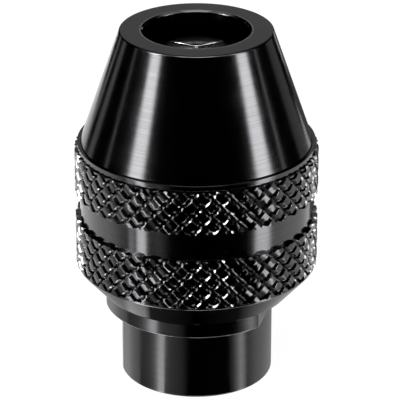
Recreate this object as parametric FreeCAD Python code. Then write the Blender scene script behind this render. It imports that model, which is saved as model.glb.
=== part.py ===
import FreeCAD, Part
import math
import os

# A small keyless chuck for rotary tools: a threaded hub, a knurled grip sleeve with a conical
# nose, and three jaws that the nose's taper closes when the sleeve is screwed back on the hub.
# Millimetres. Origin at the centre of the hub's rear face, +Z towards the nose, jaws closed.

# Hub: the part that screws on the tool's spindle.
hub_radius = 6.0
hub_edge_chamfer = 0.2
collar_radius = 7.25
collar_bottom = 5.85
collar_top = 8.0
collar_edge_chamfer = 0.12
collar_flat_distance = 6.05
collar_flat_angle = -15.0
feed_thread_radius = 6.9
spindle_minor_radius = 3.594
spindle_mouth_radius = 4.1
spindle_mouth_depth = 0.5
spindle_thread_end = 9.5
drill_point_angle = 59.0
through_bore_radius = 1.75
spigot_radius = 2.6
spigot_top = 19.2
hub_front = 15.9

# Stop ring: an open ring in a groove at the front of the hub's thread.
ring_groove_bottom = 14.6
ring_groove_top = 15.3
ring_groove_radius = 6.4
ring_outer_radius = 7.15
ring_gap_angle = 26.0
ring_clearance = 0.05

# Ball thrust bearing between the hub and the jaw plate.
race_bottom = 15.92
race_top = 16.65
race_outer_radius = 6.6
spigot_clearance = 0.1
ball_count = 12
ball_radius = 0.6
ball_circle_radius = 4.65
ball_height = 17.05
ball_groove_radius = 0.63
cage_bottom = 16.85
cage_top = 17.25
cage_inner_radius = 3.4
cage_outer_radius = 5.9
cage_pocket_radius = 0.65

# Jaw plate: turns with the jaws and guides them in three radial slots.
plate_bottom = 17.45
plate_top = 19.4
plate_edge_clearance = 0.1
slot_floor = 18.2
slot_width = 2.1
slot_inner_radius = 3.0

# Jaws: three sectors with tapered backs, each with a tenon in its slot.
jaw_count = 3
first_jaw_angle = 90.0
jaw_bottom = 19.43
jaw_tip = 27.2
jaw_tip_radius = 2.6
jaw_base_radius = 5.6
jaw_back_clearance = 0.03
jaw_side_gap = 0.1
jaw_inner_flat = 0.12
jaw_tip_chamfer = 0.25
tenon_width = 2.0
tenon_bottom = 18.25
tenon_inner_radius = 4.15
tenon_outer_radius = 5.5

# Springs: one small coil spring behind each jaw's tenon, lying along the slot.
spring_start = 3.04
spring_end = 4.11
spring_coil_radius = 0.42
spring_wire_radius = 0.07
spring_turns = 5.0
spring_height = 18.82

# Nose cone: carries the taper that closes the jaws.
taper_angle = 25.0
throat_radius = 4.1
mouth_radius = 4.23
mouth_chamfer = 0.13
nose_top = 28.6
nose_top_radius = 5.9
nose_edge_chamfer = 0.1
cone_base = 19.6
cone_base_radius = 9.0
cavity_radius = 7.35
nose_spigot_bottom = 12.05
nose_spigot_radius = 8.18

# Grip sleeve: the knurled shell that screws on the hub's thread.
sleeve_bottom = 7.15
sleeve_bottom_radius = 7.45
lip_radius = 7.32
lip_top = 8.1
sleeve_thread_radius = 6.95
sleeve_thread_top = 11.1
sleeve_bore_radius = 8.2
sleeve_shoulder = 12.0
sleeve_top = 19.55
rear_chamfer_radius = 9.35
rear_chamfer_top = 9.3
knurl_radius = 9.5
lower_knurl_bottom = 9.45
lower_knurl_top = 13.4
band_radius = 9.13
upper_knurl_bottom = 15.65
upper_knurl_top = 19.05
land_radius = 9.27
land_bottom = 19.2
land_edge = 0.12


def turned(points):
    """Solid of revolution about Z from a closed outline of (radius, height) points."""
    corners = [FreeCAD.Vector(r, 0, z) for r, z in points]
    outline = Part.makePolygon(corners + corners[:1])
    face = Part.Face(outline)
    axis = FreeCAD.Vector(0, 0, 1)
    return face.revolve(FreeCAD.Vector(0, 0, 0), axis, 360)


def box_along(angle, inner, outer, width, bottom, top):
    """Box that runs outwards from the axis at an angle, centred on that line."""
    corner = FreeCAD.Vector(inner, -width / 2, bottom)
    box = Part.makeBox(outer - inner, width, top - bottom, corner)
    box.rotate(FreeCAD.Vector(0, 0, 0), FreeCAD.Vector(0, 0, 1), angle)
    return box


def ball_groove():
    """Ring-shaped track that the balls run in."""
    centre = FreeCAD.Vector(0, 0, ball_height)
    return Part.makeTorus(ball_circle_radius, ball_groove_radius, centre)


def spindle_hub():
    """Hub with the spindle thread's bore, the collar, the feed thread and the front spigot."""
    drill_point = math.tan(math.radians(90 - drill_point_angle))
    drill_point *= spindle_minor_radius - through_bore_radius
    hub = turned([
        (spindle_mouth_radius, 0),
        (hub_radius - hub_edge_chamfer, 0),
        (hub_radius, hub_edge_chamfer),
        (hub_radius, collar_bottom),
        (collar_radius - collar_edge_chamfer, collar_bottom),
        (collar_radius, collar_bottom + collar_edge_chamfer),
        (collar_radius, collar_top),
        (feed_thread_radius, collar_top),
        (feed_thread_radius, ring_groove_bottom),
        (ring_groove_radius, ring_groove_bottom),
        (ring_groove_radius, ring_groove_top),
        (feed_thread_radius, ring_groove_top),
        (feed_thread_radius, hub_front),
        (spigot_radius, hub_front),
        (spigot_radius, spigot_top),
        (through_bore_radius, spigot_top),
        (through_bore_radius, spindle_thread_end + drill_point),
        (spindle_minor_radius, spindle_thread_end),
        (spindle_minor_radius, spindle_mouth_depth),
    ])
    flat = box_along(
        collar_flat_angle,
        collar_flat_distance,
        collar_radius + 1,
        2 * collar_radius,
        collar_bottom - 1,
        collar_top,
    )
    return hub.cut(flat)


def stop_ring():
    """Open ring that keeps the sleeve from being screwed off the hub."""
    bottom = ring_groove_bottom + ring_clearance
    top = ring_groove_top - ring_clearance
    inner = ring_groove_radius + ring_clearance
    ring = turned([(inner, bottom), (ring_outer_radius, bottom), (ring_outer_radius, top), (inner, top)])
    width = 2 * ring_outer_radius * math.sin(math.radians(ring_gap_angle / 2))
    return ring.cut(box_along(180, 0, ring_outer_radius + 1, width, bottom - 1, top + 1))


def thrust_race():
    """Hardened washer on the hub's front face, with the balls' track in it."""
    inner = spigot_radius + spigot_clearance
    washer = turned([
        (inner, race_bottom),
        (race_outer_radius, race_bottom),
        (race_outer_radius, race_top),
        (inner, race_top),
    ])
    return washer.cut(ball_groove())


def ball_position(number):
    """Centre of one ball on its circle."""
    angle = 2 * math.pi * number / ball_count
    x = ball_circle_radius * math.cos(angle)
    y = ball_circle_radius * math.sin(angle)
    return FreeCAD.Vector(x, y, ball_height)


def ball_cage():
    """Flat ring with a pocket for each ball."""
    cage = turned([
        (cage_inner_radius, cage_bottom),
        (cage_outer_radius, cage_bottom),
        (cage_outer_radius, cage_top),
        (cage_inner_radius, cage_top),
    ])
    for number in range(ball_count):
        start = ball_position(number) - FreeCAD.Vector(0, 0, ball_radius)
        cage = cage.cut(Part.makeCylinder(cage_pocket_radius, 2 * ball_radius, start))
    return cage


def ball(number):
    """One bearing ball."""
    return Part.makeSphere(ball_radius, ball_position(number))


def jaw_angle(number):
    """Direction that a jaw moves in, in degrees from +X."""
    return first_jaw_angle + number * 360 / jaw_count


def taper_slope():
    """How far the taper's wall leans outwards for each millimetre back from the throat."""
    return math.tan(math.radians(taper_angle))


def throat_bottom():
    """Height where the taper starts, set by where the closed jaws' backs meet it."""
    return jaw_tip - (throat_radius - jaw_tip_radius) / taper_slope()


def plate_radius(height):
    """Radius of the jaw plate's conical edge, which stays clear of the taper around it."""
    taper_radius = throat_radius + (throat_bottom() - height) * taper_slope()
    return taper_radius - plate_edge_clearance


def jaw_plate():
    """Disc with a conical edge, three radial slots on top and the balls' upper track underneath."""
    inner = spigot_radius + spigot_clearance
    plate = turned([
        (inner, plate_bottom),
        (plate_radius(plate_bottom), plate_bottom),
        (plate_radius(plate_top), plate_top),
        (inner, plate_top),
    ])
    plate = plate.cut(ball_groove())
    for number in range(jaw_count):
        slot = box_along(
            jaw_angle(number),
            slot_inner_radius,
            plate_radius(plate_bottom) + 1,
            slot_width,
            slot_floor,
            plate_top + 1,
        )
        plate = plate.cut(slot)
    return plate


def jaw_blank():
    """Round blank that the three jaws are sectors of."""
    tip = jaw_tip_radius - jaw_back_clearance
    base = jaw_base_radius - jaw_back_clearance
    shoulder = jaw_tip - (base - tip) / taper_slope()
    chamfer_bottom = jaw_tip - jaw_tip_chamfer
    chamfer_radius = tip + jaw_tip_chamfer * taper_slope()
    return turned([
        (0, jaw_bottom),
        (base, jaw_bottom),
        (base, shoulder),
        (chamfer_radius, chamfer_bottom),
        (tip - jaw_tip_chamfer, jaw_tip),
        (0, jaw_tip),
    ])


def jaw(number):
    """One jaw: a sector of the blank, a narrow gripping edge, and a tenon in the slot."""
    half = math.pi / jaw_count
    apex = jaw_side_gap / 2 / math.sin(half)
    reach = 2 * jaw_base_radius
    wedge = Part.makePolygon([
        FreeCAD.Vector(apex, 0, 0),
        FreeCAD.Vector(apex + reach * math.cos(half), -reach * math.sin(half), 0),
        FreeCAD.Vector(apex + reach * 2, -reach * math.sin(half), 0),
        FreeCAD.Vector(apex + reach * 2, reach * math.sin(half), 0),
        FreeCAD.Vector(apex + reach * math.cos(half), reach * math.sin(half), 0),
        FreeCAD.Vector(apex, 0, 0),
    ])
    sector = Part.Face(wedge).extrude(FreeCAD.Vector(0, 0, jaw_tip + 1))
    body = jaw_blank().common(sector)
    body = body.cut(box_along(0, -1, jaw_inner_flat, 2, 0, jaw_tip + 1))
    tenon = box_along(0, tenon_inner_radius, tenon_outer_radius, tenon_width, tenon_bottom, jaw_bottom + 0.5)
    body = body.fuse(tenon).removeSplitter()
    body.rotate(FreeCAD.Vector(0, 0, 0), FreeCAD.Vector(0, 0, 1), jaw_angle(number))
    return body.Solids[0]


def jaw_spring(number):
    """Coil spring that pushes one jaw outwards along its slot."""
    length = spring_end - spring_start - 2 * spring_wire_radius
    pitch = length / spring_turns
    helix = Part.makeLongHelix(pitch, length, spring_coil_radius)
    start = FreeCAD.Vector(spring_coil_radius, 0, 0)
    circle = Part.makeCircle(spring_wire_radius, start, FreeCAD.Vector(0, 1, 0))
    wire = Part.Wire(circle)
    coil = Part.Wire(helix).makePipeShell([wire], True, True)
    coil.rotate(FreeCAD.Vector(0, 0, 0), FreeCAD.Vector(0, 1, 0), 90)
    coil.translate(FreeCAD.Vector(spring_start + spring_wire_radius, 0, spring_height))
    coil.rotate(FreeCAD.Vector(0, 0, 0), FreeCAD.Vector(0, 0, 1), jaw_angle(number))
    return coil


def nose_cone():
    """Conical nose with the mouth, the inner taper and the spigot that fits in the sleeve."""
    throat = throat_bottom()
    taper_end = throat - (cavity_radius - throat_radius) / taper_slope()
    edge_slope = (cone_base_radius - nose_top_radius) / (nose_top - cone_base)
    edge_radius = nose_top_radius + edge_slope * nose_edge_chamfer
    return turned([
        (mouth_radius, nose_top),
        (nose_top_radius - nose_edge_chamfer, nose_top),
        (edge_radius, nose_top - nose_edge_chamfer),
        (cone_base_radius, cone_base),
        (nose_spigot_radius, cone_base),
        (nose_spigot_radius, nose_spigot_bottom),
        (cavity_radius, nose_spigot_bottom),
        (cavity_radius, taper_end),
        (throat_radius, throat),
        (throat_radius, nose_top - mouth_chamfer),
    ])


def grip_sleeve():
    """Knurled grip with two raised bands, a plain groove between them and a threaded rear end."""
    return turned([
        (lip_radius, sleeve_bottom),
        (sleeve_bottom_radius, sleeve_bottom),
        (rear_chamfer_radius, rear_chamfer_top),
        (knurl_radius, lower_knurl_bottom),
        (knurl_radius, lower_knurl_top),
        (band_radius, lower_knurl_top),
        (band_radius, upper_knurl_bottom),
        (knurl_radius, upper_knurl_bottom),
        (knurl_radius, upper_knurl_top),
        (land_radius, land_bottom),
        (land_radius, sleeve_top - land_edge),
        (land_radius - land_edge, sleeve_top),
        (sleeve_bore_radius, sleeve_top),
        (sleeve_bore_radius, sleeve_shoulder),
        (cavity_radius, sleeve_shoulder),
        (cavity_radius, sleeve_thread_top),
        (sleeve_thread_radius, sleeve_thread_top),
        (sleeve_thread_radius, lip_top),
        (lip_radius, lip_top),
    ])


def save(shape, node):
    """Writes one sub-part as its own file and prints what it is."""
    shape.exportStep("parts/" + node + ".step")
    print(node, "valid", shape.isValid(), "solids", len(shape.Solids), "mm3", round(shape.Volume, 2))


os.makedirs("parts", exist_ok=True)
save(spindle_hub(), "spindle_hub")
save(stop_ring(), "stop_ring")
save(thrust_race(), "thrust_race")
save(ball_cage(), "ball_cage")
for ball_number in range(ball_count):
    save(ball(ball_number), "ball_%02d" % (ball_number + 1))
save(jaw_plate(), "jaw_plate")
for jaw_number in range(jaw_count):
    save(jaw(jaw_number), "jaw_%d" % (jaw_number + 1))
    save(jaw_spring(jaw_number), "jaw_spring_%d" % (jaw_number + 1))
save(nose_cone(), "nose_cone")
save(grip_sleeve(), "grip_sleeve")
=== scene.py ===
# %% [markdown]
# # A small keyless drill chuck
# The chuck is turned steel, blackened and left glossy: a hub that screws on a tool's spindle, a
# knurled sleeve, a conical nose, and three jaws that close as the sleeve is screwed back.
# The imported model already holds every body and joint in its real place, so the first step is to
# load it and to note its box. Every visible piece is then built around it at the same place.

# %% Load the frame
import bmesh
import bpy
import math
from mathutils import Matrix, Vector


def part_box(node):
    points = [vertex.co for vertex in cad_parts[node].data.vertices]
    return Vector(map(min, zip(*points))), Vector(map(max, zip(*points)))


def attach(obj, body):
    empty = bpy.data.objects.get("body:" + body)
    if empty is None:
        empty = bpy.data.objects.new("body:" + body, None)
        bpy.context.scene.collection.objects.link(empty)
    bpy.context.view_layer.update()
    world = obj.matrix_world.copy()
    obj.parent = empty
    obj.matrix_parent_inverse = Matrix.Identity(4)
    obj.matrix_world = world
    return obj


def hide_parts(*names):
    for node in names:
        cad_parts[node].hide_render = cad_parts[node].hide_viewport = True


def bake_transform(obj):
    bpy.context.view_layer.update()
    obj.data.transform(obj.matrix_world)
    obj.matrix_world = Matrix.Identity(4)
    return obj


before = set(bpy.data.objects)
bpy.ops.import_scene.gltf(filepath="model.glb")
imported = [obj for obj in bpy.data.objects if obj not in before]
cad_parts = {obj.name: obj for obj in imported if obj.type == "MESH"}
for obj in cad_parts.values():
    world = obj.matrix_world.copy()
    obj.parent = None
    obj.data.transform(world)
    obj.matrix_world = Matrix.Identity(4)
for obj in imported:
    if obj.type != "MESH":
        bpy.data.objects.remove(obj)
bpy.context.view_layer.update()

# %% [markdown]
# ## Units and shared sizes
# Blender works in metres and a turner works in millimetres, so outlines are written in
# millimetres and multiplied once, where the mesh is made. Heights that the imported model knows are
# read from its boxes, so that the looks can't drift away from the parts that move.

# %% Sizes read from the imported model
MM = 0.001
hub_low, hub_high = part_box("spindle_hub")
nose_low, nose_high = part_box("nose_cone")
sleeve_low, sleeve_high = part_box("grip_sleeve")
jaw_low, jaw_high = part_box("jaw_1")
hub_top = hub_high.z / MM
nose_top = nose_high.z / MM
sleeve_bottom = sleeve_low.z / MM
sleeve_top = sleeve_high.z / MM
knurl_radius = sleeve_high.x / MM
jaw_tip = jaw_high.z / MM
print("nose top", round(nose_top, 2), "sleeve", round(sleeve_bottom, 2), "to", round(sleeve_top, 2))

# %% [markdown]
# ## Turned shapes
# The nose, the sleeve and the hub all come off a lathe, so each is one closed outline spun round
# the axis. A Screw modifier would do that too. Spinning it in a short function instead lets each
# corner be softened on the way: a real turned edge is broken by a few hundredths of a millimetre,
# and that narrow band is what catches the light. The corners are marked in an attribute called
# "edge", which the steel's material reads later. Beside each softened corner goes a support point,
# which keeps the shading of the long straight faces flat.

# %% Outline and lathe helpers
CORNER_STEPS = 4
SUPPORT = 0.06
LATHE_STEPS = 240


def softened(outline):
    """Points (radius, height, edge mark) of an outline whose corners have a softening size.
    A corner may have a fourth value: how much it is lightened, partly as wear and partly as painted
    highlight."""
    points = []
    for i, (radius, height, soft, *wear_highlight) in enumerate(outline):
        wear_and_glint = wear_highlight[0] if wear_highlight else 1.0
        here = Vector((radius, height))
        before = Vector(outline[i - 1][:2]) - here
        after = Vector(outline[(i + 1) % len(outline)][:2]) - here
        reach = min(soft, 0.3 * before.length, 0.3 * after.length)
        if soft == 0:
            points.append((radius, height, wear_highlight[0] if wear_highlight else 0.0))
            continue
        start = here + before.normalized() * reach
        end = here + after.normalized() * reach
        lead = start + before.normalized() * min(SUPPORT, 0.3 * before.length)
        points.append((lead.x, lead.y, 0.0))
        for step in range(CORNER_STEPS + 1):
            t = step / CORNER_STEPS
            spot = start * (1 - t) ** 2 + here * 2 * t * (1 - t) + end * t ** 2
            points.append((spot.x, spot.y, wear_and_glint * (1.0 - abs(2 * t - 1))))
        trail = end + after.normalized() * min(SUPPORT, 0.3 * after.length)
        points.append((trail.x, trail.y, 0.0))
    return points


def shaded(mesh, sharp_angle):
    """Smooth shading, but for the corners that are sharper than an angle in degrees."""
    mesh.shade_smooth()
    mesh.set_sharp_from_angle(angle=math.radians(sharp_angle))


def placed(name, data):
    """A new object in the scene, at the origin."""
    piece = bpy.data.objects.new(name, data)
    bpy.context.scene.collection.objects.link(piece)
    return piece


def piece_from(shape, name, sharp_angle=30):
    """Makes a bmesh an object at the origin, smooth but for its sharp corners."""
    mesh = bpy.data.meshes.new(name)
    shape.to_mesh(mesh)
    shape.free()
    shaded(mesh, sharp_angle)
    return placed(name, mesh)


def turned_shape(outline, steps=LATHE_STEPS):
    """Spins a closed outline in millimetres round the Z axis and returns the bmesh."""
    profile = softened(outline)
    shape = bmesh.new()
    edge = shape.verts.layers.float.new("edge")
    rings = []
    for step in range(steps):
        angle = 2 * math.pi * step / steps
        across, along = math.cos(angle) * MM, math.sin(angle) * MM
        ring = []
        for radius, height, mark in profile:
            vertex = shape.verts.new((radius * across, radius * along, height * MM))
            vertex[edge] = mark
            ring.append(vertex)
        rings.append(ring)
    count = len(profile)
    for step, ring in enumerate(rings):
        following = rings[(step + 1) % steps]
        for i in range(count):
            j = (i + 1) % count
            shape.faces.new((ring[i], following[i], following[j], ring[j]))
    bmesh.ops.recalc_face_normals(shape, faces=shape.faces)
    return shape


# %% [markdown]
# ## Node helpers
# Geometry Nodes and materials are both graphs. In a script a graph is easiest to read as a
# formula, so a node's output is wrapped in a small class whose + - * / each add one maths node.
# The other helpers add a node with its inputs, split and join vectors, and turn a modifier's
# result into a plain mesh. A modifier's inputs are set by the sockets' identifiers.

# %% Formulas made of nodes
def operator(operation, swapped=False):
    """A Python operator that adds one maths node."""
    def method(value, other):
        pair = (other, value) if swapped else (value, other)
        return calc(value.tree, operation, *pair)
    return method


class Value:
    """A node's output that can stand in a formula."""
    def __init__(self, tree, socket):
        self.tree, self.socket = tree, socket

    __add__, __radd__ = operator("ADD"), operator("ADD", True)
    __sub__, __rsub__ = operator("SUBTRACT"), operator("SUBTRACT", True)
    __mul__, __truediv__, __pow__ = operator("MULTIPLY"), operator("DIVIDE"), operator("POWER")


def feed(tree, socket, value):
    """Links an output to an input, or sets the input to a plain value."""
    if isinstance(value, Value):
        value = value.socket
    if isinstance(value, bpy.types.NodeSocket):
        tree.links.new(value, socket)
    else:
        socket.default_value = value


def add(tree, kind, inputs=None, **settings):
    """Adds a node, sets its properties, then feeds its inputs by name or number."""
    node = tree.nodes.new(kind)
    for key, value in settings.items():
        setattr(node, key, value)
    for key, value in (inputs or {}).items():
        feed(tree, node.inputs[key], value)
    return node


def calc(tree, operation, first, second=0.0):
    """A maths node, ready for use in a formula."""
    node = add(tree, "ShaderNodeMath", {0: first, 1: second}, operation=operation)
    return Value(tree, node.outputs[0])


def ramp(tree, value, low, high, to_low=0.0, to_high=1.0):
    """A clamped Map Range node, ready for use in a formula."""
    limits = dict(enumerate((value, low, high, to_low, to_high)))
    return Value(tree, add(tree, "ShaderNodeMapRange", limits).outputs[0])


def vector(tree, x=0.0, y=0.0, z=0.0):
    """Three numbers joined to one vector."""
    return add(tree, "ShaderNodeCombineXYZ", {0: x, 1: y, 2: z}).outputs[0]


def parts_of(tree, source):
    """The three numbers of a vector."""
    return [Value(tree, part) for part in add(tree, "ShaderNodeSeparateXYZ", {0: source}).outputs]


# %% Node groups and modifiers
def new_group(name, kind, inputs, outputs):
    """A node group with its sockets. Returns it with its inputs by name and its output node."""
    tree = bpy.data.node_groups.new(name, kind)
    for label, value in inputs.items():
        socket_type = "NodeSocket" + {int: "Int", float: "Float"}.get(type(value), "Material")
        socket = tree.interface.new_socket(label, in_out="INPUT", socket_type=socket_type)
        if value is not None:
            socket.default_value = value
    for label, value_type in outputs.items():
        socket_type = "NodeSocket" + value_type
        tree.interface.new_socket(label, in_out="OUTPUT", socket_type=socket_type)
    start = add(tree, "NodeGroupInput")
    given = {label: Value(tree, start.outputs[label]) for label in inputs}
    return tree, given, add(tree, "NodeGroupOutput")


def end_tree(tree, geometry, given, result):
    """Ends a tree with real geometry that has its material."""
    real = add(tree, "GeometryNodeRealizeInstances", {0: geometry})
    painted = add(tree, "GeometryNodeSetMaterial", {
        "Geometry": real.outputs[0], "Material": given["Material"]})
    feed(tree, result.inputs[0], painted.outputs[0])
    return tree


def applied(piece, modifier):
    """The mesh that a modifier makes. The modifier is taken off again."""
    evaluated = piece.evaluated_get(bpy.context.evaluated_depsgraph_get())
    mesh = bpy.data.meshes.new_from_object(evaluated)
    piece.modifiers.remove(modifier)
    return mesh


def grown(name, tree, settings):
    """Runs a Geometry Nodes tree and returns its result as a plain mesh object."""
    carrier = placed(name + "_carrier", bpy.data.meshes.new(name + "_seed"))
    modifier = carrier.modifiers.new("grow", "NODES")
    modifier.node_group = tree
    for item in tree.interface.items_tree:
        if item.in_out == "INPUT" and item.name in settings:
            modifier[item.identifier] = settings[item.name]
    mesh = applied(carrier, modifier)
    bpy.data.objects.remove(carrier)
    mesh.name = name
    print(name, "vertices", len(mesh.vertices), "faces", len(mesh.polygons))
    return placed(name, mesh)


# %% [markdown]
# ## Finishes shared by the steels
# Every turned face carries the lathe's feed marks: rings so fine that they only show where a
# highlight ends, as a slightly ragged border, and as faint streaks inside it. They could be an
# image, but a noise that is stretched round the axis does the same for a cone, a cylinder and a
# flat face, because it depends on radius and height and hardly on the angle.
# More than one material uses them, so they are a shader node group that is built once.

# %% Lathe mark group
FACE_SHARE = 0.83


def build_lathe_marks():
    """Rings from the lathe tool: a height for bump, and a streak value for shine and tone."""
    tree, given, result = new_group("lathe_marks", "ShaderNodeTree", {
        "Rings per mm": 14.0, "Waver": 0.5}, {"Height": "Float", "Streak": "Float"})
    x, y, z = parts_of(tree, add(tree, "ShaderNodeTexCoord").outputs["Object"])
    radius = calc(tree, "MAXIMUM", calc(tree, "SQRT", x * x + y * y), 1e-5)
    rings = (z + radius * FACE_SHARE) / MM * given["Rings per mm"]
    waver = given["Waver"]
    on_ring = vector(tree, rings, x / radius * waver, y / radius * waver)
    for label, scale, detail in (("Height", 1.0, 3.0), ("Streak", 0.31, 4.0)):
        noise = add(tree, "ShaderNodeTexNoise", {
            "Vector": on_ring, "Scale": scale, "Detail": detail})
        feed(tree, result.inputs[label], noise.outputs[0])
    return tree


lathe_marks = build_lathe_marks()
print("group", lathe_marks.name, "made")

# %% [markdown]
# Handling leaves a second trace on every part: soft smudges of oil, a few millimetres across, that
# dull the gloss in places. A Noise texture with a gentle ramp makes them. Broken corners are
# painted lighter, partly as wear of the black and partly as a painted highlight, and the "edge"
# attribute tells the group where they are.

# %% Group for smudges, worn corners and painted edge highlights
SPECKS_PER_MM = 2.5


def build_handling_and_highlights():
    """Smudges on the faces, and corners lightened as wear and as painted highlight, as masks from 0
    to 1.
    """
    tree, given, result = new_group("handling_and_highlights", "ShaderNodeTree", {
        "Smudges per mm": 0.35}, {"Smudge": "Float", "Wear and highlight": "Float"})
    place = add(tree, "ShaderNodeTexCoord").outputs["Object"]
    smudges = add(tree, "ShaderNodeTexNoise", {
        "Vector": place, "Scale": given["Smudges per mm"] / MM, "Detail": 5.0})
    feed(tree, result.inputs["Smudge"], ramp(tree, smudges.outputs[0], 0.42, 0.72))
    edge = add(tree, "ShaderNodeAttribute", attribute_name="edge").outputs["Fac"]
    specks = add(tree, "ShaderNodeTexNoise", {"Vector": place, "Scale": SPECKS_PER_MM / MM})
    broken = ramp(tree, specks.outputs[0], 0.3, 0.6, 0.35, 1.0)
    feed(tree, result.inputs["Wear and highlight"], broken * edge)
    return tree


handling_and_highlights = build_handling_and_highlights()
print("group", handling_and_highlights.name, "made")

# %% [markdown]
# ## The steels
# Each metal is a Principled BSDF with Metallic at 1. Its base colour is how much of the light it
# returns: under 0.1 for the blackened pieces, which makes them black in the face and bright where
# the eye grazes them. The groups only supply numbers that change over the surface. A mask attribute
# darkens the base colour as painted shade, in recesses where shade falls, such as inside the mouth.

# %% Steel builder
# Painted shade: the colour that the base colour is darkened to where the mask is set.
PAINTED_SHADE_COLOUR = (0.008, 0.008, 0.008, 1.0)
SMUDGE_DULLING = 0.05


def mixed(tree, amount, first, second, blend="MIX"):
    """A colour mix, whose output is returned."""
    inputs = {0: amount, 6: first, 7: second}
    return add(tree, "ShaderNodeMix", inputs, data_type="RGBA", blend_type=blend).outputs[2]


def steel(name, colour, wear_and_highlight_colour, roughness, rings=14.0, waver=0.5, bump=0.002,
          spread=0.1, bare=None):
    """A metal with lathe marks, smudges, and corners lightened as wear and as painted highlight.
    The bump is in millimetres, the spread is how much the roughness varies, and bare is the
    roughness on those corners."""
    material = bpy.data.materials.new(name)
    material.use_nodes = True
    tree = material.node_tree
    marks = add(tree, "ShaderNodeGroup", node_tree=lathe_marks, inputs={
        "Rings per mm": rings, "Waver": waver})
    traces = add(tree, "ShaderNodeGroup", node_tree=handling_and_highlights)
    wear_and_highlight, smudge = (Value(tree, traces.outputs[label]) for label in ("Wear and highlight", "Smudge"))
    streak = marks.outputs["Streak"]
    # Wear and painted highlight: corners marked as edges are lightened towards the second colour.
    tone = mixed(tree, wear_and_highlight, (*colour, 1.0), (*wear_and_highlight_colour, 1.0))
    shade = ramp(tree, streak, 0.3, 0.7, 0.85, 1.15)
    streaked = mixed(tree, 1.0, tone, vector(tree, shade, shade, shade), "MULTIPLY")
    # Painted shade: the mask attribute darkens the base colour inside the mouth, where shade falls.
    painted_shade = add(tree, "ShaderNodeAttribute", attribute_name="painted_shade").outputs["Fac"]
    gloss = ramp(tree, streak, 0.25, 0.75, roughness - spread / 2, roughness + spread / 2)
    gloss = gloss + smudge * SMUDGE_DULLING
    if bare is not None:
        gloss = gloss + wear_and_highlight * (bare - roughness)
    relief = add(tree, "ShaderNodeBump", {
        "Strength": 1.0, "Distance": bump * MM, "Height": marks.outputs["Height"]})
    shader = tree.nodes["Principled BSDF"]
    feed(tree, shader.inputs["Metallic"], 1.0)
    feed(tree, shader.inputs["Base Color"], mixed(tree, painted_shade, streaked, PAINTED_SHADE_COLOUR))
    feed(tree, shader.inputs["Roughness"], gloss)
    feed(tree, shader.inputs["Normal"], relief.outputs[0])
    return material


# %% [markdown]
# The outside pieces share one black. Their rings are very fine, 45 to a millimetre, and hardly
# raised, because a glossy black is polished first. The knurl is pressed and not turned, so it has
# no rings but a coarse waver. The pieces inside are bare, oiled or ground, and each has its own
# colour. The jaws' gripping edges are painted brightest, partly as wear and partly as a painted
# highlight.

# %% The metals of the chuck
black = (0.085, 0.085, 0.088)
# The second colour of each metal is what its corners are lightened to, partly as wear and partly as
# painted highlight.
worn_and_highlit_black = (0.32, 0.32, 0.33)
nose_steel = steel("blackened_nose_steel", black, (0.5, 0.5, 0.51), 0.13,
                   rings=45.0, bump=0.0008, spread=0.05)
sleeve_steel = steel("blackened_sleeve_steel", black, worn_and_highlit_black, 0.13,
                     rings=45.0, bump=0.0006, spread=0.05)
knurl_steel = steel("blackened_knurl_steel", black, (0.33, 0.33, 0.335), 0.12,
                    rings=7.0, waver=9.0, bump=0.004)
hub_steel = steel("blackened_hub_steel", (0.055, 0.055, 0.057), worn_and_highlit_black, 0.15,
                  rings=45.0, bump=0.0008, spread=0.05)
jaw_steel = steel("blackened_jaw_steel", (0.012, 0.012, 0.012), (0.9, 0.9, 0.91), 0.34,
                  bump=0.0004, spread=0.04, bare=0.1)
plate_steel = steel("oiled_plate_steel", (0.22, 0.22, 0.23), (0.4, 0.4, 0.41), 0.28)
race_steel = steel("ground_race_steel", (0.45, 0.45, 0.46), (0.6, 0.6, 0.6), 0.2,
                   rings=24.0, bump=0.001)
ball_steel = steel("polished_ball_steel", (0.62, 0.62, 0.63), (0.7, 0.7, 0.7), 0.07, bump=0.0002)
cage_brass = steel("pressed_cage_brass", (0.72, 0.5, 0.2), (0.85, 0.65, 0.35), 0.3)
ring_steel = steel("phosphated_ring_steel", (0.12, 0.12, 0.13), (0.3, 0.3, 0.3), 0.4)
spring_steel = steel("drawn_spring_wire", (0.4, 0.4, 0.41), (0.55, 0.55, 0.55), 0.25, bump=0.001)
print("metals", len(bpy.data.materials))


def finished(piece, material, body, slot, *nodes):
    """Gives a piece its metal, the body that it rides on and the CAD nodes that it stands for."""
    piece.data.materials.clear()
    piece.data.materials.append(material)
    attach(piece, body)
    if nodes:
        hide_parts(*nodes)
    print(piece.name, "on", body, "faces", len(piece.data.polygons))


# %% [markdown]
# ## The nose
# The nose is a plain cone outside, with a flat front face and a round mouth. Inside, the mouth
# leads to a straight throat and then to the taper that closes the jaws. The rim and the mouth have
# narrow broken edges, which show as two fine bright ellipses; the mouth's edge is also painted
# lighter, partly as wear and partly as a painted highlight.

# %% Nose cone
throat_radius = 4.1
taper_start = 23.98
cavity_radius = 7.35
taper_end = 17.02
cone_base = 19.6
cone_base_radius = 9.0
nose_spigot_radius = 8.18
# From the mouth round the outside of the nose and back up the taper.
# A fourth value paints a corner lighter, partly as wear and partly as painted highlight; the
# mouth's ring gets the most.
nose_outline = [
    (throat_radius + 0.14, nose_top, 0.05, 0.2),
    (throat_radius + 0.2, nose_top, 0, 1.0),
    (throat_radius + 0.3, nose_top, 0, 0.0),
    (5.9, nose_top, 0.13, 0.1),
    (cone_base_radius, cone_base, 0.012, 0.0),
    (nose_spigot_radius, cone_base, 0.02),
    (nose_spigot_radius, nose_low.z / MM, 0.1),
    (cavity_radius, nose_low.z / MM, 0.1),
    (cavity_radius, taper_end, 0.2),
    (throat_radius, taper_start, 0.1),
    (throat_radius, nose_top - 0.14, 0.05),
]


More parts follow.
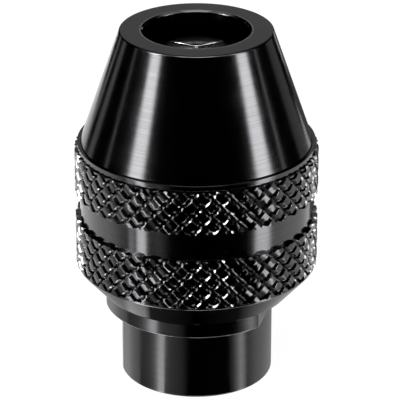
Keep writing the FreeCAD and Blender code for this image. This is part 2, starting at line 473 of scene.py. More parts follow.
def paint_shade(piece, radius, bottom, top):
    """Marks the points within a radius, between two heights in millimetres, for painted shade."""
    mark = piece.data.attributes.new("painted_shade", "FLOAT", "POINT")
    for vertex, value in zip(piece.data.vertices, mark.data):
        inside = math.hypot(vertex.co.x, vertex.co.y) < radius * MM
        value.value = 1.0 if inside and bottom * MM < vertex.co.z < top * MM else 0.0
    print(piece.name, "grimy points", sum(v.value > 0 for v in mark.data))


nose = piece_from(turned_shape(nose_outline), "nose_cone_turned")
# Painted shade: the throat's walls inside the mouth are darkened, where shade falls.
paint_shade(nose, throat_radius + 0.01, 0.0, nose_top - 0.13)
finished(nose, nose_steel, "sleeve", "nose_black_steel", "nose_cone")

# %% [markdown]
# ## The sleeve
# The sleeve is one turned shell: a rear chamfer, a seat for each knurled band, the plain groove
# between them, and a narrow smooth land at the foot of the cone. The knurls are made next, as
# rings that sit on this shell, because their mesh follows the diamonds and not the lathe.

# %% Sleeve shell
lower_knurl = (9.5, 13.4)
upper_knurl = (15.65, 19.08)
groove_radius = 9.13
seat_radius = 9.02
land_radius = 9.27
sleeve_bore_radius = 8.2
# Up the outside of the sleeve and down through the bore, the feed thread and the lip.
sleeve_outline = [
    (7.32, sleeve_bottom, 0.05),
    (7.45, sleeve_bottom, 0.05),
    (9.4, 9.36, 0.06),
    (9.4, lower_knurl[0], 0.03),
    (seat_radius, lower_knurl[0], 0.02),
    (seat_radius, lower_knurl[1], 0.02),
    (groove_radius, lower_knurl[1], 0.02),
    (groove_radius, upper_knurl[0], 0.02),
    (seat_radius, upper_knurl[0], 0.02),
    (seat_radius, 19.16, 0.02),
    (land_radius, 19.16, 0.04),
    (land_radius, sleeve_top, 0.012, 0.0),
    (sleeve_bore_radius, sleeve_top, 0.02),
    (sleeve_bore_radius, 12.0, 0.05),
    (cavity_radius, 12.0, 0.05),
    (cavity_radius, 11.1, 0.05),
    (6.95, 11.1, 0.05),
    (6.95, 8.1, 0.05),
    (7.32, 8.1, 0.05),
]


shell = piece_from(turned_shape(sleeve_outline), "grip_sleeve_shell")
finished(shell, sleeve_steel, "sleeve", "sleeve_black_steel", "grip_sleeve")

# %% [markdown]
# ## The knurl
# Knurling presses two sets of slanted V grooves into the blank, and what stays between them is a
# lattice of diamonds with flat tops. It could be a bump map, but the outline of the sleeve is
# ragged with diamonds, so it is real geometry.
# The grooves repeat, so Geometry Nodes make them. One small square patch is spaced so that its
# lines fall on the groove's bottom, its shoulder and the flat top. It is turned into a diamond and
# put on every point of a staggered grid. A formula then wraps the sheet round the sleeve and
# presses the grooves in. Inputs are named as a toolmaker would name them.

# %% Knurl tree: one diamond and its grid
PATCH_STEPS = 10
BURR_WIDTH = 0.06


def spaced(tree, coordinate, flank, shoulder):
    """Moves evenly spaced lines to the top's middle, its burr, its rim, the shoulder and groove."""
    distance = calc(tree, "ABSOLUTE", coordinate)
    step = 1.0 / PATCH_STEPS
    total = ramp(tree, distance, 0.0, 2 * step, 0.0, 0.5 - BURR_WIDTH - flank - shoulder)
    for i, width in ((2, BURR_WIDTH), (3, shoulder), (4, flank)):
        total = total + ramp(tree, distance, i * step, (i + 1) * step, 0.0, width)
    return total * calc(tree, "SIGN", coordinate)


def diamond_patch(tree, given):
    """A square grid turned by 45 degrees, one diamond wide and one diamond high."""
    lines = PATCH_STEPS + 1
    grid = add(tree, "GeometryNodeMeshGrid", {"Vertices X": lines, "Vertices Y": lines})
    x, y, z = parts_of(tree, add(tree, "GeometryNodeInputPosition").outputs[0])
    p, q = (spaced(tree, line, given["Groove Half Width"], given["Shoulder"]) for line in (x, y))
    place = vector(tree, (p + q) * 0.5, (p - q) * 0.5)
    return add(tree, "GeometryNodeSetPosition", {
        "Geometry": grid.outputs[0], "Position": place}).outputs[0]


def staggered_points(tree, given):
    """Grid of points, in diamonds across and up, every second row shifted by half a diamond."""
    around = given["Diamonds Around"]
    index = Value(tree, add(tree, "GeometryNodeInputIndex").outputs[0])
    row = calc(tree, "FLOOR", (index + 0.5) / around)
    shift = calc(tree, "MODULO", row + 1.0, 2.0) * 0.5
    place = vector(tree, index - row * around + shift, (row - 1.0) * 0.5)
    return add(tree, "GeometryNodePoints", {
        "Count": around * given["Rows"], "Position": place}).outputs[0]


# %% [markdown]
# On the flat sheet one set of grooves lies where the sum of across and up is halfway between two
# whole numbers, and the other set where their difference is. So the distance to the nearest groove
# is a short formula. The depth, the bright rim and the raised burr beside it all follow from that
# distance. Each top is also bowed and leans by its own random amount, because a real knurl sparkles
# unevenly: the knurling wheels cut, push and fold the steel as they go round.

# %% Knurl tree: the formula that presses the grooves
CELL_SHIFT = 100.5
BOW = -16.0


def to_groove(tree, along):
    """Distance to the nearest groove of one set, in groove pitches."""
    return 0.5 - calc(tree, "ABSOLUTE", calc(tree, "FRACT", along + CELL_SHIFT) - 0.5)


def diamond_lean(tree, p, q, amount):
    """A small random lean for each diamond's top, because no two are pressed alike."""
    cell = vector(tree, *(calc(tree, "FLOOR", along + CELL_SHIFT) for along in (p, q)))
    chance = add(tree, "ShaderNodeTexWhiteNoise", {"Vector": cell}, noise_dimensions="3D")
    draws = parts_of(tree, chance.outputs["Color"])
    leans = [(calc(tree, "FRACT", along + CELL_SHIFT) - 0.5) * (draw - 0.5)
             for along, draw in zip((p, q), draws)]
    return (leans[0] + leans[1]) * amount


def pressed_surface(tree, given):
    """Where each point of the flat sheet goes, and how near it is to a groove."""
    across, up, flat = parts_of(tree, add(tree, "GeometryNodeInputPosition").outputs[0])
    p, q = across + up, across - up
    flank = given["Groove Half Width"]
    lip = flank + given["Shoulder"]
    nearest = calc(tree, "MINIMUM", to_groove(tree, p), to_groove(tree, q))
    rise = ramp(tree, nearest, 0.0, flank, 0.0, 0.9) + ramp(tree, nearest, flank, lip, 0.0, 0.1)
    pressed = (1.0 - rise) * given["Groove Depth"]
    off_middle = calc(tree, "FRACT", p + CELL_SHIFT) - 0.5
    crown = off_middle ** 2.0 * BOW * given["Crown"]
    raised = ramp(tree, nearest, lip, lip + BURR_WIDTH, 1.0, 0.0) * ramp(tree, nearest, flank, lip)
    crown = crown + raised * given["Burr"]
    lean = diamond_lean(tree, p, q, given["Lean"]) * ramp(tree, nearest, 0.0, flank)
    height = given["Bottom"] + up * given["Diamond Height"]
    radius = given["Radius"] - pressed + (crown + lean)
    radius = calc(tree, "MINIMUM", radius, given["Radius"])
    angle = across * (2 * math.pi) / given["Diamonds Around"]
    x, y = radius * calc(tree, "COSINE", angle), radius * calc(tree, "SINE", angle)
    return vector(tree, x, y, height), nearest


def build_knurl():
    """The whole knurl: patch, grid, grooves, marked rims, wrapped round the sleeve and joined."""
    tree, given, result = new_group("knurl", "GeometryNodeTree", {
        "Diamonds Around": 41, "Rows": 9, "Diamond Height": 1.5 * MM, "Bottom": 0.0,
        "Radius": 9.5 * MM, "Groove Depth": 0.24 * MM, "Groove Half Width": 0.17,
        "Shoulder": 0.03, "Crown": 0.03 * MM, "Burr": 0.009 * MM, "Lean": 0.2 * MM,
        "Material": None,
    }, {"Geometry": "Geometry"})
    copies = add(tree, "GeometryNodeInstanceOnPoints", {
        "Points": staggered_points(tree, given), "Instance": diamond_patch(tree, given)})
    sheet = add(tree, "GeometryNodeRealizeInstances", {0: copies.outputs[0]})
    place, nearest = pressed_surface(tree, given)
    away = calc(tree, "ABSOLUTE", nearest - given["Groove Half Width"])
    # The rim is stored as "edge", which the steel paints lighter, partly as wear and partly as
    # painted highlight.
    rim = ramp(tree, away, 0.0, given["Shoulder"], 1.0, 0.0)
    marked = add(tree, "GeometryNodeStoreNamedAttribute", {
        "Geometry": sheet.outputs[0], "Name": "edge", "Value": rim})
    wrapped = add(tree, "GeometryNodeSetPosition", {
        "Geometry": marked.outputs[0], "Position": place})
    joined = add(tree, "GeometryNodeMergeByDistance", {
        "Geometry": wrapped.outputs[0], "Distance": 0.004 * MM})
    return end_tree(tree, joined.outputs[0], given, result)


knurl_tree = build_knurl()
print("knurl tree nodes", len(knurl_tree.nodes))

# %% [markdown]
# The tree runs once for each band. Its sheet is taller than the band, so it is cut off square at
# both ends, as the turning tool does when it faces the knurl. Each cut rim is then carried straight
# in to the seat, and the gap between the two inner rims is filled, which closes the ring.

# %% Cutting and closing a band
def cut_off(shape, point, outward):
    """Cuts a bmesh by a plane, drops the part in front of it and returns the rim's edges."""
    everything = shape.verts[:] + shape.edges[:] + shape.faces[:]
    cut = bmesh.ops.bisect_plane(
        shape, geom=everything, plane_co=point, plane_no=outward, clear_outer=True, dist=1e-7)
    return [item for item in cut["geom_cut"] if isinstance(item, bmesh.types.BMEdge)]


def carried_in(shape, rim, radius):
    """Extrudes a rim straight in to a radius and returns the new rim's points, sorted by angle."""
    made = bmesh.ops.extrude_edge_only(shape, edges=rim)["geom"]
    points = [item for item in made if isinstance(item, bmesh.types.BMVert)]
    for vertex in points:
        around = Vector((vertex.co.x, vertex.co.y, 0)).normalized() * radius
        vertex.co = Vector((around.x, around.y, vertex.co.z))
    bmesh.ops.remove_doubles(shape, verts=points, dist=0.002 * MM)
    return sorted([v for v in points if v.is_valid], key=lambda v: math.atan2(v.co.y, v.co.x))


def closed_between(shape, lower, upper):
    """Walks round two rims at the same time and fills the gap between them with triangles."""
    def angle(ring, i):
        point = ring[i % len(ring)].co
        return math.atan2(point.y, point.x) + 2 * math.pi * (i // len(ring))
    i = j = 0
    while i < len(lower) or j < len(upper):
        low, high = lower[i % len(lower)], upper[j % len(upper)]
        if j == len(upper) or (i < len(lower) and angle(lower, i + 1) <= angle(upper, j + 1)):
            i += 1
            shape.faces.new((low, lower[i % len(lower)], high))
        else:
            j += 1
            shape.faces.new((low, upper[j % len(upper)], high))


# %% [markdown]
# Each band is grown, cut, closed and then checked: a closed ring has no open edges left.

# %% Both knurled bands
diamonds_around = 41
diamond_height = 1.5
seat_overlap = 0.1


def knurled_band(name, bottom, top):
    """One knurled band between two heights in millimetres."""
    rows = math.ceil((top - bottom) / diamond_height * 2) + 3
    band = grown(name, knurl_tree, {
        "Diamonds Around": diamonds_around, "Rows": rows, "Diamond Height": diamond_height * MM,
        "Bottom": bottom * MM, "Radius": knurl_radius * MM, "Material": knurl_steel,
    })
    shape = bmesh.new()
    shape.from_mesh(band.data)
    rims = []
    for height, outward in ((bottom, -1), (top, 1)):
        rim = cut_off(shape, Vector((0, 0, height * MM)), Vector((0, 0, outward)))
        rims.append(carried_in(shape, rim, (seat_radius - seat_overlap) * MM))
    closed_between(shape, *rims)
    bmesh.ops.recalc_face_normals(shape, faces=shape.faces)
    open_edges = [edge for edge in shape.edges if not edge.is_manifold]
    print(name, "rim points", [len(rim) for rim in rims], "open edges left", len(open_edges))
    shape.to_mesh(band.data)
    shape.free()
    shaded(band.data, 22)
    finished(band, knurl_steel, "sleeve", "sleeve_black_steel")


for band_name, (low, high) in (("lower_knurl", lower_knurl), ("upper_knurl", upper_knurl)):
    knurled_band(band_name, low, high)

# %% [markdown]
# ## The hub
# The hub is turned as well, in one outline from the spindle's thread at the rear to the spigot in
# front. A wrench flat is milled on its collar, so the turned solid is cut with a box by a Boolean
# modifier, and the result is made a plain mesh.

# %% Hub body
flat_angle = math.radians(-15)
flat_distance = 6.05
collar_bottom = 5.85
collar_top = 8.0
thread_root = 6.35
feed_thread_top = 14.6
spindle_thread_end = 9.5
# Up the outside of the hub and down through the bore.
hub_outline = [
    (4.35, 0.0, 0.04),
    (6.0, 0.0, 0.18),
    (6.0, collar_bottom, 0.03),
    (7.25, collar_bottom, 0.12),
    (7.25, collar_top, 0.06),
    (thread_root, collar_top, 0.04),
    (thread_root, feed_thread_top, 0.04),
    (6.9, feed_thread_top - 0.2, 0.04),
    (6.9, feed_thread_top, 0.04),
    (6.4, feed_thread_top, 0.04),
    (6.4, 15.3, 0.04),
    (6.9, 15.3, 0.04),
    (6.9, 15.9, 0.06),
    (2.6, 15.9, 0.06),
    (2.6, hub_top, 0.1),
    (1.75, hub_top, 0.1),
    (1.75, 10.6, 0.1),
    (4.03, spindle_thread_end, 0.1),
    (4.03, 0.32, 0.04),
]


def add_box(shape, size, middle, turn=0.0):
    """Adds a box to a bmesh, sized and placed in millimetres and turned round the axis."""
    corners = bmesh.ops.create_cube(shape, size=1.0)["verts"]
    place = (Matrix.Rotation(turn, 4, "Z") @ Matrix.Translation(Vector(middle) * MM)
             @ Matrix.Diagonal((*(Vector(size) * MM), 1)))
    bmesh.ops.transform(shape, matrix=place, verts=corners)


def milled_flat(piece):
    """Cuts the collar's wrench flat with a box and returns the piece with a plain mesh."""
    cutter_shape = bmesh.new()
    size = (2.0, 16.0, collar_top - collar_bottom + 0.1)
    middle = (flat_distance + 1.0, 0.0, (collar_top + collar_bottom) / 2)
    add_box(cutter_shape, size, middle, flat_angle)
    cutter = piece_from(cutter_shape, "flat_cutter")
    cut = piece.modifiers.new("flat", "BOOLEAN")
    cut.operation = "DIFFERENCE"
    cut.solver = "EXACT"
    cut.object = cutter
    piece.data = applied(piece, cut)
    bpy.data.objects.remove(cutter)
    shaded(piece.data, 30)
    return piece


hub = milled_flat(piece_from(turned_shape(hub_outline), "hub_turned"))
finished(hub, hub_steel, "hub", "hub_black_steel", "spindle_hub")

# %% [markdown]
# ## Threads and springs
# A thread and a coil spring are the same idea: one section carried along a helix. Geometry Nodes
# have a Spiral curve for the helix and Curve to Mesh for the section, so one tree makes both. Only
# the section differs: a trapezium for a thread's ridge and a circle for a wire.

# %% Helix tree
def build_helix(name, round_section):
    """A section carried along a helix that climbs from Start."""
    tree, given, result = new_group(name, "GeometryNodeTree", {
        "Radius": 4 * MM, "Pitch": MM, "Turns": 5.0, "Section Height": 0.4 * MM,
        "Section Base": 0.7 * MM, "Section Crest": 0.1 * MM, "Inward": 0.0, "Start": 0.0,
        "Steps per Turn": 48, "Material": None,
    }, {"Geometry": "Geometry"})
    spiral = add(tree, "GeometryNodeCurveSpiral", {
        "Resolution": given["Steps per Turn"], "Rotations": given["Turns"],
        "Start Radius": given["Radius"], "End Radius": given["Radius"],
        "Height": given["Pitch"] * given["Turns"]})
    upright = add(tree, "GeometryNodeSetCurveNormal", {"Curve": spiral.outputs[0]}, mode="Z_UP")
    if round_section:
        profile = add(tree, "GeometryNodeCurvePrimitiveCircle", {
            "Resolution": 10, "Radius": given["Section Height"] * 0.5})
    else:
        section = add(tree, "GeometryNodeCurvePrimitiveQuadrilateral", mode="TRAPEZOID", inputs={
            "Height": given["Section Height"], "Bottom Width": given["Section Base"],
            "Top Width": given["Section Crest"], "Offset": 0.0})
        spin = vector(tree, z=given["Inward"] * math.pi - math.pi / 2)
        profile = add(tree, "GeometryNodeTransform", {
            "Geometry": section.outputs[0], "Rotation": spin})
    swept = add(tree, "GeometryNodeCurveToMesh", {
        "Curve": upright.outputs[0], "Profile Curve": profile.outputs[0], "Fill Caps": True})
    lifted = add(tree, "GeometryNodeTransform", {
        "Geometry": swept.outputs[0], "Translation": vector(tree, z=given["Start"])})
    return end_tree(tree, lifted.outputs[0], given, result)


ridge_tree = build_helix("thread_ridge", False)
wire_tree = build_helix("spring_wire", True)


def clean_sweep(piece, sharp_angle):
    """Turns a swept piece's faces outwards and marks its sharp edges."""
    shape = bmesh.new()
    shape.from_mesh(piece.data)
    bmesh.ops.recalc_face_normals(shape, faces=shape.faces)
    shape.to_mesh(piece.data)
    shape.free()
    shaded(piece.data, sharp_angle)


# %% [markdown]
# The spindle's thread is cut inside the hub, so its ridge points inwards. The feed thread is on the
# outside, and the sleeve climbs it by one pitch for each turn.

# %% Spindle thread and feed thread
spindle_ridge = grown("spindle_thread", ridge_tree, {
    "Radius": 3.83 * MM, "Pitch": 0.75 * MM, "Turns": 11.0, "Section Height": 0.46 * MM,
    "Section Base": 0.66 * MM, "Section Crest": 0.1 * MM, "Inward": 1.0, "Start": 0.7 * MM,
    "Steps per Turn": 48, "Material": hub_steel,
})
feed_ridge = grown("feed_thread", ridge_tree, {
    "Radius": 6.61 * MM, "Pitch": 1.0 * MM, "Turns": 5.0, "Section Height": 0.58 * MM,
    "Section Base": 0.92 * MM, "Section Crest": 0.16 * MM, "Inward": 0.0, "Start": 8.6 * MM,
    "Steps per Turn": 72, "Material": hub_steel,
})
for ridge in (spindle_ridge, feed_ridge):
    clean_sweep(ridge, 30)
    finished(ridge, hub_steel, "hub", "hub_black_steel")

# %% [markdown]
# ## The jaws
# Three jaws share the round blank like slices of a cake. Each is cut from a turned blank by two
# planes, and a narrow flat is ground along its inner edge, where it grips. A Bevel modifier then
# breaks every edge: closed jaws show as nothing but the fine bright lines of those bevels, whose
# gripping corners are also painted bright, partly as wear and partly as a painted highlight.

# %% Jaws
jaw_bottom = 19.43
jaw_side_gap = 0.1
jaw_inner_flat = 0.12
jaw_bevel = 0.075
tenon_bottom = jaw_low.z / MM
SIDE_TURN = math.radians(150)


def level_direction(angle):
    """Level direction at an angle in radians."""
    return Vector((math.cos(angle), math.sin(angle), 0))


def jaw_blank():
    """Solid round blank with the tapered back, closed at the axis."""
    outline = [(5.57, jaw_bottom), (5.57, 20.77), (2.69, 26.95), (2.32, jaw_tip)]
    steps = 72
    shape = bmesh.new()
    rings = []
    angles = [2 * math.pi * step / steps for step in range(steps)]
    for radius, height in outline:
        rings.append([shape.verts.new((radius * math.cos(a) * MM, radius * math.sin(a) * MM,
                                       height * MM)) for a in angles])
    for lower, upper in zip(rings, rings[1:]):
        for i in range(steps):
            j = (i + 1) % steps
            shape.faces.new((lower[i], lower[j], upper[j], upper[i]))
    shape.faces.new(list(reversed(rings[0])))
    shape.faces.new(rings[-1])
    return shape


def keep_side(shape, point, outward):
    """Cuts a bmesh by a plane and closes the cut with a face."""
    bmesh.ops.edgeloop_fill(shape, edges=cut_off(shape, point, outward))


def jaw_shape(angle):
    """One jaw that moves outwards at an angle, with its tenon."""
    shape = jaw_blank()
    for side in (-1, 1):
        outward = level_direction(side * SIDE_TURN)
        keep_side(shape, outward * -jaw_side_gap / 2 * MM, outward)
    keep_side(shape, Vector((jaw_inner_flat * MM, 0, 0)), Vector((-1, 0, 0)))
    tenon_top = jaw_bottom + 0.3
    add_box(shape, (1.35, 2.0, tenon_top - tenon_bottom),
            (4.825, 0, (tenon_top + tenon_bottom) / 2))
    bmesh.ops.recalc_face_normals(shape, faces=shape.faces)
    bmesh.ops.transform(shape, matrix=Matrix.Rotation(angle, 4, "Z"), verts=shape.verts)
    return shape


# %% [markdown]
# The edges that grip are broken by the bevel, and the blacking rubs off them. So the corners
# beside the two side faces are marked in the attribute that the steel reads, which paints them
# bright: partly wear, partly a painted highlight.

# %% Broken edges, rubbed and painted bright
def bevelled(piece, width):
    """Breaks a piece's edges with a Bevel modifier and returns the piece with a plain mesh."""
    bevel = piece.modifiers.new("bevel", "BEVEL")
    bevel.width = width * MM
    bevel.segments = 2
    bevel.limit_method = "ANGLE"
    bevel.angle_limit = math.radians(35)
    bevel.mark_sharp = False
    piece.data = applied(piece, bevel)
    shaded(piece.data, 50)
    return piece


def mark_gripping_edges(piece, direction):
    """Marks the corners beside the jaw's two side faces, where the blacking rubs off; the steel
    paints them bright, partly as a painted highlight.
    """
    mark = piece.data.attributes.new("edge", "FLOAT", "POINT")
    sides = [level_direction(direction + turn) for turn in (SIDE_TURN, -SIDE_TURN)]
    near = (jaw_side_gap / 2 + 1.6 * jaw_bevel) * MM
    for vertex, value in zip(piece.data.vertices, mark.data):
        inwards = max(vertex.co.dot(side) for side in sides)
        value.value = 1.0 if inwards > -near else 0.0
    print(piece.name, "points on the gripping edges", sum(v.value > 0 for v in mark.data))


jaws = [("jaw_a", 1, math.radians(90)), ("jaw_b", 2, math.radians(210)),
        ("jaw_c", 3, math.radians(330))]
for body, number, direction in jaws:
    node = "jaw_%d" % number
    jaw = bevelled(piece_from(jaw_shape(direction), node + "_ground"), jaw_bevel)
    mark_gripping_edges(jaw, direction)
    finished(jaw, jaw_steel, body, "jaw_black_steel", node)

# %% [markdown]
# ## Springs
# A coil spring lies in each slot and pushes its jaw outwards.

# %% Springs
spring_start = 3.04
spring_end = 4.11
spring_height = 18.82
wire_width = 0.14
spring_turns = 5.0
for body, number, direction in jaws:
    node = "jaw_spring_%d" % number
    length = spring_end - spring_start - wire_width
    spring = grown(node + "_wire", wire_tree, {
        "Radius": 0.42 * MM, "Pitch": length / spring_turns * MM, "Turns": spring_turns,
        "Section Height": wire_width * MM, "Start": 0.0, "Steps per Turn": 20,
        "Material": spring_steel,
    })
    inner_end = Vector((spring_start + wire_width / 2, 0, spring_height)) * MM
    spring.data.transform(Matrix.Rotation(direction, 4, "Z") @ Matrix.Translation(inner_end)
                          @ Matrix.Rotation(math.pi / 2, 4, "Y"))
    clean_sweep(spring, 60)
    spring.data.materials.clear()
    spring.data.materials.append(spring_steel)
    outwards = level_direction(direction)
    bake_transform(spring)
    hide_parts(node)
    print(spring.name, "blended from the jaw plate to", body)

# %% [markdown]
# ## The bearing's balls
# The sleeve pushes on the hub through a ring of hardened balls, so that it turns easily while the
# jaws are tight. A ball made from a divided cube has even faces and no poles. Its middle and its
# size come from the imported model's box.

# %% Balls
def ball_shape(middle, radius):
    """A sphere from a cube whose faces are divided and pushed out to the radius."""
    shape = bmesh.new()
    bmesh.ops.create_cube(shape, size=2.0)
    bmesh.ops.subdivide_edges(shape, edges=shape.edges, cuts=9, use_grid_fill=True)
    for vertex in shape.verts:
        vertex.co = middle + vertex.co.normalized() * radius
    return shape


for node in sorted(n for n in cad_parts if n.startswith("ball_") and n != "ball_cage"):
    low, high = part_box(node)
    ball = piece_from(ball_shape((low + high) / 2, (high.z - low.z) / 2), node + "_polished", 60)
    finished(ball, ball_steel, "ball_ring", "ball_steel", node)

# %% [markdown]
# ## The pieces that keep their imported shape
# The cage, the race, the jaw plate and the stop ring are plain turned or pressed parts that lie
# inside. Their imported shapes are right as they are, and they only get their metals.

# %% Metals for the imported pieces
for node, metal in (("ball_cage", cage_brass), ("thrust_race", race_steel),
                    ("jaw_plate", plate_steel), ("stop_ring", ring_steel)):
    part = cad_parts[node]
    part.data.materials.clear()
    part.data.materials.append(metal)
    print(node, "keeps its shape, metal", metal.name)

# %% [markdown]
# ## Floor, lights and camera
# Black glossy metal has no colour of its own: it shows the room. What makes its shape readable is
# what is placed round it. Bright strips stand on the left and the right, each in three heights,
# because the cone, the upright walls and the knurl look up and down by different angles. Thin gaps
# of light stand beside them, a grey card hangs behind for the flat front face, and soft panels
# hang above and below for the broken edges. Nothing stands in front, so the middle stays black.
# The table is plain and pale, and glows a little, as a lit table does, so that it stays clean.

# %% Floor
TABLE_DEPTH = 0.02
TABLE_HALF_WIDTH = 1.5
TABLE_GREY = 0.12
TABLE_GLOW = 0.975


def table_finish():
    """Pale, even and slightly lit from within."""
    material = bpy.data.materials.new("pale_table")
    material.use_nodes = True
    shader = material.node_tree.nodes["Principled BSDF"]
    shader.inputs["Base Color"].default_value = (TABLE_GREY, TABLE_GREY, TABLE_GREY, 1)
    shader.inputs["Roughness"].default_value = 0.9
    shader.inputs["Emission Color"].default_value = (1, 1, 1, 1)
    shader.inputs["Emission Strength"].default_value = TABLE_GLOW
    return material


square = bmesh.new()
corners = [(-1, -1), (1, -1), (1, 1), (-1, 1)]
square.faces.new([square.verts.new((x * TABLE_HALF_WIDTH, y * TABLE_HALF_WIDTH, -TABLE_DEPTH * MM))
                  for x, y in corners])
table = piece_from(square, "table")
table.data.materials.append(table_finish())
table.visible_glossy = False
print("table", 2 * TABLE_HALF_WIDTH, "m wide")

# %% [markdown]
# A reflector is easiest to place by the angles at which the metal sees it: an azimuth, counted from
# the camera towards the right, and an elevation. Each panel is a bent sheet on a dome round the
# chuck, between two azimuths and two elevations, and only reflections see it. How brightly it glows
# is stored on its mesh, so that it can fade across its width, as a real softbox does at its edges.

# %% Glowing sheets
def glow_material():
    """Emission whose strength is read from the mesh."""
    material = bpy.data.materials.new("reflector_glow")
    material.use_nodes = True
    tree = material.node_tree
    tree.nodes.remove(tree.nodes["Principled BSDF"])
    strength = add(tree, "ShaderNodeAttribute", attribute_name="glow").outputs["Fac"]
    light = add(tree, "ShaderNodeEmission", {"Strength": strength})
    feed(tree, tree.nodes["Material Output"].inputs["Surface"], light.outputs[0])
    material.cycles.emission_sampling = "NONE"
    return material


reflector_glow = glow_material()


def glowing_sheet(name, columns, rows, place, glow):
    """A sheet of faces whose points and brightness come from two functions of column and row."""
    shape = bmesh.new()
    level = shape.verts.layers.float.new("glow")
    grid = []
    for column in columns:
        line = []
        for row in rows:
            vertex = shape.verts.new(place(column, row))
            vertex[level] = glow(column, row)
            line.append(vertex)
        grid.append(line)
    for left, right in zip(grid, grid[1:]):
        for i in range(len(rows) - 1):
            shape.faces.new((left[i], right[i], right[i + 1], left[i + 1]))
    sheet = piece_from(shape, name)
    sheet.data.materials.append(reflector_glow)
    for ray in ("camera", "diffuse", "shadow", "transmission", "volume_scatter"):
        setattr(sheet, "visible_" + ray, False)


def even_steps(low, high, count):
    """Numbers from low to high with equal steps."""
    return [low + (high - low) * i / count for i in range(count + 1)]


# %% [markdown]
# The walls of the hub and the groove look down at the lowest strips, the cone looks level at the
# middle ones, and the broken edges look up. The azimuths differ a little from strip to strip,
# because each surface is turned by half of the angle at which it sees its light.

# %% Panels on the dome
DOME = 0.4
chuck_middle = Vector((0, 0, 0.014))


def towards(azimuth, elevation):
    """Direction in which the chuck sees a spot of the room, from angles in degrees."""
    a, e = math.radians(azimuth), math.radians(elevation)
    return Vector((math.sin(a) * math.cos(e), -math.cos(a) * math.cos(e), math.sin(e)))


def on_dome(azimuth, elevation):
    """Point of the dome at an azimuth and an elevation."""
    return chuck_middle + towards(azimuth, elevation) * DOME


def panel(name, azimuths, elevations, radiance, fade=0.0):
    """A reflector between two azimuths and two elevations that fades over its outer degrees."""
    def glow(azimuth, elevation):
        inside = min(azimuth - azimuths[0], azimuths[1] - azimuth)
        return radiance * (min(1.0, inside / fade) if fade else 1.0)
    glowing_sheet(name, even_steps(*azimuths, 16), even_steps(*elevations, 12), on_dome, glow)


panel("strip_left", (-69, -50), (-12, 18), 7.6, 4)
panel("strip_left_top", (-74, -56), (18, 42), 14.0, 3)
panel("strip_left_foot", (-61, -49), (-60, -12), 5.2, 2)
panel("strip_left_second", (-70, -62.5), (-60, -12), 1.5, 1)
panel("strip_left_spill", (-49, -26), (-60, -12), 0.42, 14)
panel("strip_right", (57, 77), (-12, 18), 7.2, 4)
panel("strip_right_top", (57, 77), (18, 45), 3.5, 4)
panel("strip_right_foot", (57, 78), (-60, -12), 4.6, 4)
panel("gap_left", (-97, -93), (-14, 30), 0.6, 1)
panel("gap_right", (89, 93), (-14, 30), 1.0, 1)
panel("wall_left", (-129, -118), (-14, 10), 0.4, 2)
panel("wall_left_far", (-145, -137), (-14, 10), 0.35, 2)
panel("wall_right", (116, 138), (-14, 10), 0.22, 2)
panel("wall_right_far", (151, 158), (-14, 10), 1.0, 2)
panel("back_card", (160, 200), (12, 34), 0.28)
panel("high_left", (-110, -40), (44, 66), 1.15, 12)
panel("high_right", (40, 110), (44, 66), 1.15, 12)
panel("edge_front", (-70, 70), (-85, -52), 1.2, 10)

# %% [markdown]
# Near the chuck the metal sees the table itself. A wall of the chuck mirrors each spot of the table
# in one direction, so the sheet is laid out by that direction and by how far away from the wall the
# spot is. Close to the hub it also carries the soft reflections of the two strips, which the table
# shows as well. It stays open in front, where nothing is lit.

# %% Reflection of the table
near_right = [(50, 0.0), (58, 0.4), (66, 1.6), (71, 3.0), (76, 2.4), (84, 0.5), (92, 0.72),
              (104, 1.0), (120, 0.92), (136, 0.73), (152, 0.49), (179, 0.3)]
near_left = [(12, 0.0), (24, 0.3), (40, 0.5), (49, 0.8), (52, 5.2), (59, 5.2), (64, 2.2), (70, 0.9),
             (78, 0.5), (94, 0.3), (100, 1.0), (128, 1.28), (144, 0.8), (152, 0.5), (157, 0.6),
             (161, 1.6), (179, 1.6)]
far_right = [(78, 0.6), (92, 0.85), (100, 0.95), (128, 0.9), (144, 1.15), (148, 1.1), (150, 0.08),
             (179, 0.08)]
far_left = [(72, 0.25), (80, 0.5), (88, 0.85), (96, 1.08), (120, 1.3), (136, 1.27), (144, 1.1),
            (179, 1.05)]
near_reaches, far_reaches = [0.05, 2, 5, 8, 11, 14, 17, 20], [20, 24, 28, 33, 45, 70, 110]
wall_radii, wall_reaches = (6.0, 9.13), (7, 27)


def level_at(profile, side):
    """Brightness between the listed directions, in a straight line from one to the next."""
    for (start, low), (end, high) in zip(profile, profile[1:]):
        if side <= end:
            return low + (high - low) * (side - start) / (end - start)
    return profile[-1][1]


def on_table(direction, reach):
    """Point of the table that a wall mirrors in a direction, as far away from it as the reach."""
    share = (reach - wall_reaches[0]) / (wall_reaches[1] - wall_reaches[0])
    wall = wall_radii[0] + (wall_radii[1] - wall_radii[0]) * min(1.0, max(0.0, share))
    facing, seen = math.radians(direction / 2), math.radians(direction)
    x = wall * math.sin(facing) + reach * math.sin(seen)
    y = -wall * math.cos(facing) - reach * math.cos(seen)
    return Vector((x, y, -0.01)) * MM


def table_sheet(name, profile, sign, reaches):
    """A lit part of the table, on the right (1) or on the left (-1)."""
    sides = set(even_steps(profile[0][0], profile[-1][0], 60)) | {side for side, glow in profile}
    directions = [side * sign for side in sorted(sides)]
    glowing_sheet(name, directions, reaches, on_table,
                  lambda direction, reach: level_at(profile, abs(direction)))


for name, profile, sign, reaches in (
        ("table_near_right", near_right, 1, near_reaches),
        ("table_near_left", near_left, -1, near_reaches),
        ("table_far_right", far_right, 1, far_reaches),
        ("table_far_left", far_left, -1, far_reaches)):
    table_sheet(name, profile, sign, reaches)
    print(name, "from", profile[0][0], "to", profile[-1][0], "degrees")

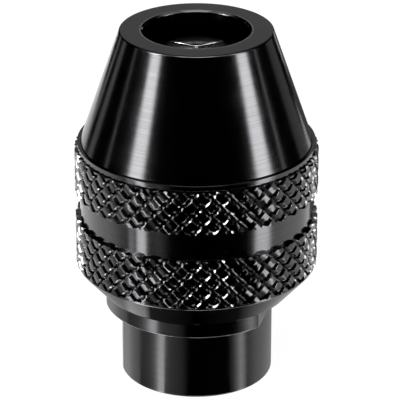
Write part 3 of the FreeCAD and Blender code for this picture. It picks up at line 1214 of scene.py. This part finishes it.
# %% [markdown]
# The chamfer behind the knurl looks almost straight down, so it mirrors only what is close beside
# the hub. A narrow ring there, which a photographer calls a flag, sets what it shows: nothing in
# front, and a little light on both sides.

# %% Flag under the sleeve
FLAG_HEIGHT = 7.0
flag = [(-100, 0.45), (-50, 0.35), (-44, 0.8), (-33, 0.7), (-29, 0.05), (0, 0.0), (26, 0.02),
        (38, 0.25), (60, 0.5), (100, 0.6)]


def on_flag(azimuth, radius):
    """Point of the flag at an azimuth in degrees and a radius in millimetres."""
    a = math.radians(azimuth)
    return Vector((math.sin(a) * radius, -math.cos(a) * radius, FLAG_HEIGHT)) * MM


glowing_sheet("flag", [azimuth for azimuth, glow in flag], [7.45, 8.1, 9.3], on_flag,
              lambda azimuth, radius: level_at(flag, azimuth))
print("flag at", FLAG_HEIGHT, "mm")

# %% [markdown]
# The softbox overhead is a real lamp, because it also has to light the table evenly. Its brightness
# is given as what the metal sees, and the lamp's power follows from its area.

# %% Softbox and dark room
def softbox(name, azimuth, elevation, distance, width, height, radiance):
    """A rectangular lamp over the chuck, turned to face it."""
    lamp = bpy.data.lights.new(name, "AREA")
    lamp.shape = "RECTANGLE"
    lamp.size = width
    lamp.size_y = height
    lamp.energy = radiance * math.pi * width * height
    box = placed(name, lamp)
    away = towards(azimuth, elevation)
    box.location = chuck_middle + away * distance
    box.rotation_euler = away.to_track_quat("Z", "Y").to_euler()
    box.visible_camera = False
    print(name, "power", round(lamp.energy, 2), "W")


softbox("overhead", azimuth=0, elevation=74, distance=0.5, width=0.34, height=0.3, radiance=3.0)
world = bpy.data.worlds.new("dark_room")
world.use_nodes = True
world.node_tree.nodes["Background"].inputs["Color"].default_value = (0.0, 0.0, 0.0, 1)
bpy.context.scene.world = world
bpy.context.scene.view_settings.view_transform = "Standard"

# %% [markdown]
# ## The camera
# The camera stands 0.2 m away and looks down by about 24 degrees through a long lens. That keeps
# the sides nearly parallel, and the rims show as slim ellipses.

# %% Camera
lens = bpy.data.cameras.new("camera")
lens.lens = 229.0
lens.sensor_width = 36.0
lens.clip_start = 0.01
camera = placed("camera", lens)
camera.location = (0.0, -0.182, 0.09619)
aim = Vector((0.000272, 0.0, 0.014326)) - camera.location
camera.rotation_euler = aim.to_track_quat("-Z", "Y").to_euler()
bpy.context.scene.camera = camera
print("camera", round(aim.length, 4), "m from the spot that it looks at")
